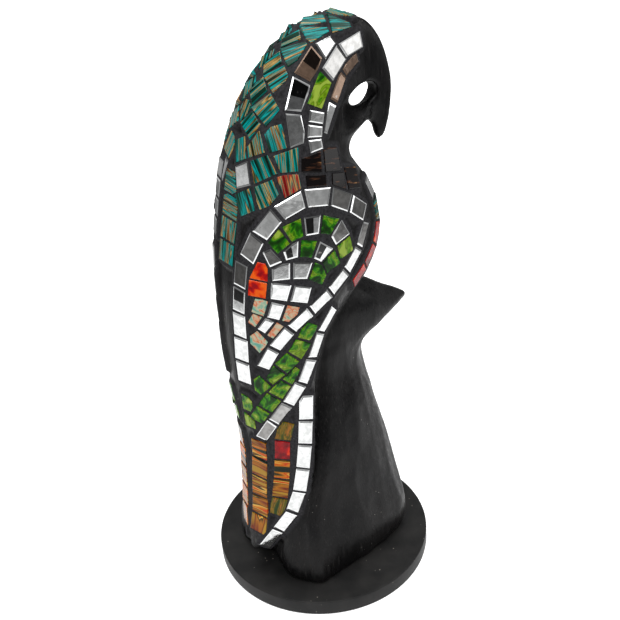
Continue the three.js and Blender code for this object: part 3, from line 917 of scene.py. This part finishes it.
def apply_modifiers(piece):
    """Makes the modifiers' result the piece's own mesh."""
    evaluated = piece.evaluated_get(bpy.context.evaluated_depsgraph_get())
    mesh = bpy.data.meshes.new_from_object(evaluated)
    piece.modifiers.clear()
    piece.data = mesh


def carve_body():
    """Bird, stump and eye cut together and eased into one skin."""
    bird = rough_piece("carved_parrot_on_stump", bird_rings())
    eye = rough_piece("eye_cut", eye_rings())
    stump = rough_piece("stump_block", stump_rings())
    cut = bird.modifiers.new("eye", "BOOLEAN")
    cut.operation = "DIFFERENCE"
    cut.solver = "EXACT"
    cut.object = eye
    apply_modifiers(bird)
    bm = bmesh.new()
    bm.from_mesh(bird.data)
    bm.from_mesh(stump.data)
    bm.to_mesh(bird.data)
    bm.free()
    bpy.data.objects.remove(eye)
    bpy.data.objects.remove(stump)
    remesh = bird.modifiers.new("fine", "REMESH")
    remesh.mode = "VOXEL"
    remesh.voxel_size = VOXEL * MM
    ease = bird.modifiers.new("ease", "SMOOTH")
    ease.factor = 0.5
    ease.iterations = EASE_STEPS
    apply_modifiers(bird)
    return bird


def grout_field(tiles):
    """A tree of all tile outlines, to find the nearest tile to a point."""
    verts, faces = [], []
    for tile in tiles:
        base = len(verts)
        verts += [tile.place(x, y, tile.lift + 1) * MM for x, y in tile.outline]
        faces.append(list(range(base, len(verts))))
    return BVHTree.FromPolygons(verts, faces)


def bed_height(tile, spot, normal):
    """How far the skin moves along its normal to meet the grout's level at a tile it faces with."""
    level = tile.lift + TILE_THICKNESS - GROUT_DEPTH
    height = (spot / MM - tile.origin).dot(tile.n)
    facing = tile.n.dot(normal)
    share = clamp((facing - BED_FACING) / BED_FACING_FADE)
    return share * clamp((level - height) / max(facing, STEEPEST), BED_LOWEST, BED_HIGHEST)


def gouge_marks(spot):
    """Shallow cuts, long up the grain, with soft ridges between them."""
    marks = []
    for across, up in (WIDE_CUTS, FINE_CUTS):
        cells, _ = noise.voronoi(Vector((spot.x * across, spot.y * across, spot.z * up)))
        marks.append(min(cells[0], MOST_CUT) ** 2)
    return marks[0] + FINE_SHARE * marks[1]


def bare_rise(spot):
    """How far the bare wood stands off its eased skin: deep cuts on the stump, faint on the bird."""
    depth = BIRD_GOUGE + (STUMP_GOUGE - BIRD_GOUGE) * clamp((HEIGHT / 2 - spot.z / MM) / GOUGE_FADE)
    uneven = sum(noise.noise(spot * waves) * height for waves, height in UNEVEN)
    return uneven + gouge_marks(spot) * depth - GOUGE_LEVEL * depth


def finish_body(piece, tiles):
    """Raises the grout bed round the tiles and leaves soft chisel marks on the bare wood."""
    mesh = piece.data
    mesh.materials.clear()
    mesh.materials.append(MATERIALS["painted_wood"])
    field = grout_field(tiles)
    grout = mesh.attributes.new("grout", "FLOAT", "POINT")
    normals = [v.normal.copy() for v in mesh.vertices]
    foot = BASE_THICKNESS + CLEARANCE
    for vert, normal in zip(mesh.vertices, normals):
        spot = vert.co
        _, _, index, distance = field.find_nearest(spot)
        near = 1 - clamp((distance / MM - GROUT_EDGE) / GROUT_SPREAD)
        near = near * near * (3 - 2 * near)
        grout.data[vert.index].value = near
        bed = bed_height(tiles[index], spot, normal) if near > 0 else 0
        rise = near * bed + (1 - near) * bare_rise(spot)
        if spot.z > (foot + FOOT_MARGIN) * MM:
            vert.co = spot + normal * rise * MM
        vert.co.z = max(vert.co.z, foot * MM)
    for polygon in mesh.polygons:
        polygon.use_smooth = True
    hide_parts("carved_parrot_and_stump")
    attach(piece, "root")


def base_profile():
    """Half the base's outline, from the middle of its underside to the middle of its top."""
    ease = BASE_ROUNDING
    lower = [(0, 0), (BASE_RADIUS - ease, 0)]
    for k in range(1, ROUNDING_STEPS):
        a = math.radians(90 * k / ROUNDING_STEPS)
        lower.append((BASE_RADIUS - ease + ease * math.sin(a), ease - ease * math.cos(a)))
    lower.append((BASE_RADIUS, ease))
    return lower + [(r, BASE_THICKNESS - z) for r, z in reversed(lower)]


def turn_base():
    """The round base: a turned disc with eased edges."""
    bm = bmesh.new()
    rings = []
    for r, z in base_profile():
        sides = BASE_SIDES if r else 1
        ring = []
        for i in range(sides):
            a = math.tau * i / sides
            ring.append(bm.verts.new((r * math.cos(a) * MM, r * math.sin(a) * MM, z * MM)))
        rings.append(ring)
    for low, high in zip(rings, rings[1:]):
        if len(low) == len(high):
            stitch(bm, low, high)
            continue
        for i in range(BASE_SIDES):
            j = (i + 1) % BASE_SIDES
            fan = (low[0], high[j], high[i]) if len(low) == 1 else (low[i], low[j], high[0])
            bm.faces.new(fan)
    for face in bm.faces:
        face.smooth = abs(face.normal.z) < 0.99
    bmesh.ops.recalc_face_normals(bm, faces=bm.faces)
    piece = mesh_object("turned_round_base", bm)
    piece.data.materials.append(MATERIALS["base_wood"])
    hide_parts("round_base")
    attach(piece, "root")


# Floor, lights and camera
def make_floor():
    """A pale floor that glows, though it is no lamp; seen straight on, it glows more further off.
    What the mirrors see is bright near the figure, dark round that, then grey: a painted pool of light
    and a painted dark ring, whose glow also lights the figure from below.
    """
    bm = bmesh.new()
    bmesh.ops.create_grid(bm, x_segments=1, y_segments=1, size=FLOOR_REACH)
    floor = mesh_object("floor", bm)
    material, tree, shader = new_material("pale_floor")
    place = add_node(tree, "ShaderNodeTexCoord").outputs["Object"]
    reach = add_node(tree, "ShaderNodeVectorMath", {0: place}, operation="LENGTH").outputs["Value"]
    share = math_node(tree, "DIVIDE", reach, FLOOR_POOL)
    pool = ramp(tree, share, [
        (0.0, (0.85, 0.85, 0.85)), (0.19, (0.8, 0.8, 0.8)), (0.25, (0.18, 0.18, 0.18)),
        (0.42, (0.12, 0.12, 0.12)), (0.6, (0.34, 0.34, 0.34)), (1.0, (0.45, 0.45, 0.45)),
    ])
    seen = add_node(tree, "ShaderNodeLightPath").outputs["Is Camera Ray"]
    tree.links.new(mix(tree, seen, pool, (0.9, 0.9, 0.9)), shader.inputs["Base Color"])
    # Painted glow: seen straight on it grows brighter further off; to everything else it is the painted
    # pool
    far = ramp(tree, share, [(0.1, (1, 1, 1)), (0.6, (2.4, 2.4, 2.4))])
    tree.links.new(mix(tree, seen, pool, far), shader.inputs["Emission Color"])
    shader.inputs["Roughness"].default_value = 0.9
    shader.inputs["Specular IOR Level"].default_value = 0.1
    shader.inputs["Emission Strength"].default_value = 0.4
    floor.data.materials.append(material)


def make_light(name, place, target, size, power):
    light = bpy.data.lights.new(name, "AREA")
    light.shape = "RECTANGLE"
    light.size, light.size_y = size
    light.energy = power
    lamp = add_object(name, light)
    lamp.location = place
    lamp.rotation_euler = (Vector(target) - Vector(place)).to_track_quat("-Z", "Y").to_euler()


def make_world():
    """A pale studio. What the mirrors see is dark between the pale horizon and the bright ceiling."""
    world = bpy.data.worlds.new("studio")
    bpy.context.scene.world = world
    world.use_nodes = True
    tree = world.node_tree
    place = add_node(tree, "ShaderNodeTexCoord").outputs["Generated"]
    height = add_node(tree, "ShaderNodeSeparateXYZ", {0: place}).outputs["Z"]
    sky = ramp(tree, height, [
        (0.0, (0.9, 0.9, 0.9)), (0.06, (0.3, 0.3, 0.3)), (0.3, (0.1, 0.1, 0.1)),
        (0.55, (0.16, 0.16, 0.17)), (0.72, (0.8, 0.8, 0.8)), (1.0, (0.95, 0.95, 0.95)),
    ])
    seen = add_node(tree, "ShaderNodeLightPath").outputs["Is Camera Ray"]
    background = tree.nodes["Background"]
    tree.links.new(mix(tree, seen, sky, (1.1, 1.1, 1.1)), background.inputs["Color"])
    background.inputs["Strength"].default_value = 0.9


def make_camera():
    azimuth = math.radians(CAMERA_AZIMUTH)
    pitch = math.radians(CAMERA_PITCH)
    roll = math.radians(CAMERA_ROLL)
    forward = Vector((math.sin(azimuth) * math.cos(pitch), math.cos(azimuth) * math.cos(pitch),
                      -math.sin(pitch)))
    level = Vector((math.cos(azimuth), -math.sin(azimuth), 0))
    upright = level.cross(forward)
    right = level * math.cos(roll) + upright * math.sin(roll)
    up = upright * math.cos(roll) - level * math.sin(roll)
    camera = bpy.data.cameras.new("camera")
    camera.sensor_width = SENSOR_WIDTH
    camera.lens = SENSOR_WIDTH * FOCAL_PX / FRAME_PX
    camera.dof.use_dof = False
    eye = add_object("camera", camera)
    turn = Matrix((right, up, -forward)).transposed()
    eye.matrix_world = Matrix.Translation(Vector(CAMERA_PLACE) * MM) @ turn.to_4x4()
    bpy.context.scene.camera = eye


# Making it: the carving, then the tiles that lie on it, then the grout round them
body = carve_body()
carving = BVHTree.FromObject(body, bpy.context.evaluated_depsgraph_get())
rows = all_rows()
laid = [tile for _, tiles in rows for tile in tiles]
for tile in laid:
    seat_tile(tile, carving)
finish_body(body, laid)
turn_base()
for name, tiles in rows:
    tile_pieces(name, tiles)

make_floor()
make_light("key_softbox", (-1.1, -0.9, 1.6), (0, 0, 0.2), (1.2, 1.2), 26)
make_light("top_softbox", (0.2, 0.2, 2.0), (0, 0, 0.1), (1.8, 1.8), 30)
make_light("side_softbox", (1.4, -0.9, 1.0), (0, 0, 0.2), (0.9, 1.3), 10)
make_world()
make_camera()
bpy.context.scene.view_settings.view_transform = "Standard"
